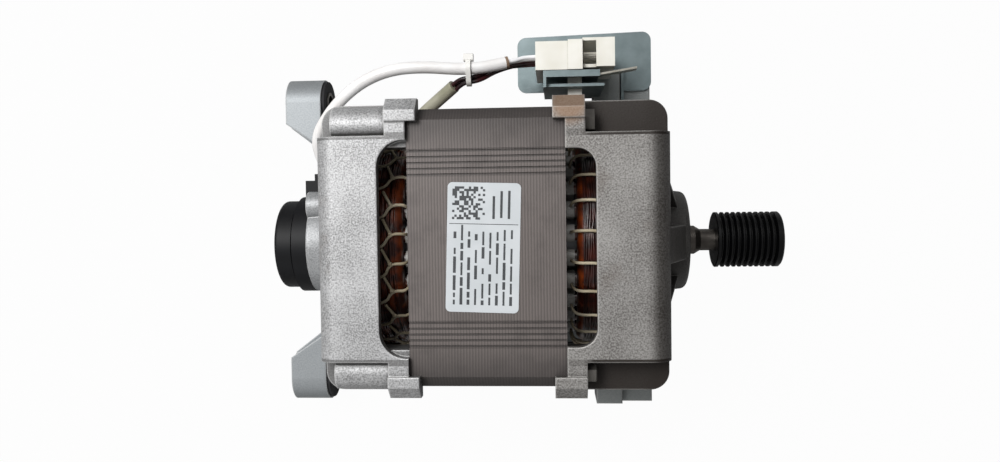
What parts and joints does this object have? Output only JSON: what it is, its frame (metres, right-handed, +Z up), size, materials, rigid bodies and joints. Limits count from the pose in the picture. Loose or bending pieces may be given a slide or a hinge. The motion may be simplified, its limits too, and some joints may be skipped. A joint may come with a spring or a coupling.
{
  "type": "washing machine motor",
  "caption": "Open-frame washing machine motor with laminated stator, two cast end shields with lugs and bushed ears, a ribbed belt pulley, speed sensor and side connector.",
  "frame": {"origin": "on the shaft's axis, at the middle of the belt pulley's length", "axes": "+X along the shaft towards the pulley's free end, +Y towards the connector, +Z up through the nameplate"},
  "size_m": [0.2178, 0.1701, 0.1104],
  "materials": {
    "cast_aluminium": "sand-cast grey with bright worn edges",
    "lamination_steel": "varnished grey-brown lamination edges",
    "copper_winding": "varnished copper wire",
    "slot_liner": "off-white film",
    "lacing_cord": "off-white tape cord",
    "bolt_steel": "zinc plated",
    "bearing_steel": "ground bright",
    "bearing_cage": "pressed",
    "seal_rubber": "matt",
    "rotor_aluminium": "die cast",
    "shaft_steel": "ground",
    "black_enamel": "gloss",
    "black_plastic": "satin",
    "magnet": "sintered",
    "bush_rubber": "matt",
    "sleeve_steel": "zinc plated",
    "label_film": "white film",
    "zinc_sheet": "blue zinc plated",
    "blade_brass": "tinned",
    "connector_nylon": "ivory nylon",
    "pin_tin": "tinned",
    "white_sleeve": "soft varnished sleeving",
    "grey_sleeve": "varnished glass sleeving",
    "white_wire": "satin",
    "dark_wire": "satin",
    "tie_nylon": "natural nylon"
  },
  "bodies": {
    "motor_frame": {"front_shield": "cast_aluminium", "rear_shield": "cast_aluminium", "stator_core": "lamination_steel", "stator_winding": "copper_winding", "winding_turns_front": "copper_winding", "winding_turns_rear": "copper_winding", "winding_lacing_front": "lacing_cord", "winding_lacing_rear": "lacing_cord", "slot_liners": "slot_liner", "through_bolts": "bolt_steel", "spring_washer": "bolt_steel", "tacho_case": "black_plastic", "tacho_cap": "black_plastic", "tacho_coil": "copper_winding", "tacho_screws": "bolt_steel", "ear_bushes": "bush_rubber", "ear_sleeves": "sleeve_steel", "nameplate": "label_film", "connector_bracket": "zinc_sheet", "bracket_screw": "bolt_steel", "earth_blade": "blade_brass", "connector_housing": "connector_nylon", "connector_pins": "pin_tin", "sensor_sleeve": "white_sleeve", "phase_sleeve": "grey_sleeve", "sensor_wires": "white_wire", "phase_wires": "dark_wire", "cable_tie": "tie_nylon", "front_bearing_outer_ring": "bearing_steel", "front_bearing_seals": "seal_rubber", "rear_bearing_outer_ring": "bearing_steel", "rear_bearing_seals": "seal_rubber"},
    "rotor": {"shaft": "shaft_steel", "rotor_core": "lamination_steel", "rotor_cage": "rotor_aluminium", "pulley": "black_enamel", "tacho_magnet": "magnet", "magnet_hub": "black_plastic", "front_bearing_inner_ring": "bearing_steel", "rear_bearing_inner_ring": "bearing_steel"},
    "front_ball_set": {"front_bearing_balls": "bearing_steel", "front_bearing_cage": "bearing_cage"},
    "rear_ball_set": {"rear_bearing_balls": "bearing_steel", "rear_bearing_cage": "bearing_cage"}
  },
  "joints": [
    {"name": "shaft_spin", "type": "hinge", "parent": "motor_frame", "child": "rotor", "pos_m": [0, 0, 0], "axis": [1, 0, 0], "continuous": true},
    {"name": "front_balls_roll", "type": "hinge", "parent": "motor_frame", "child": "front_ball_set", "pos_m": [0, 0, 0], "axis": [1, 0, 0], "continuous": true},
    {"name": "rear_balls_roll", "type": "hinge", "parent": "motor_frame", "child": "rear_ball_set", "pos_m": [0, 0, 0], "axis": [1, 0, 0], "continuous": true}
  ],
  "couplings": [
    {"joint": "front_balls_roll", "follows": "shaft_spin", "ratio": 0.3648},
    {"joint": "rear_balls_roll", "follows": "shaft_spin", "ratio": 0.3648}
  ]
}
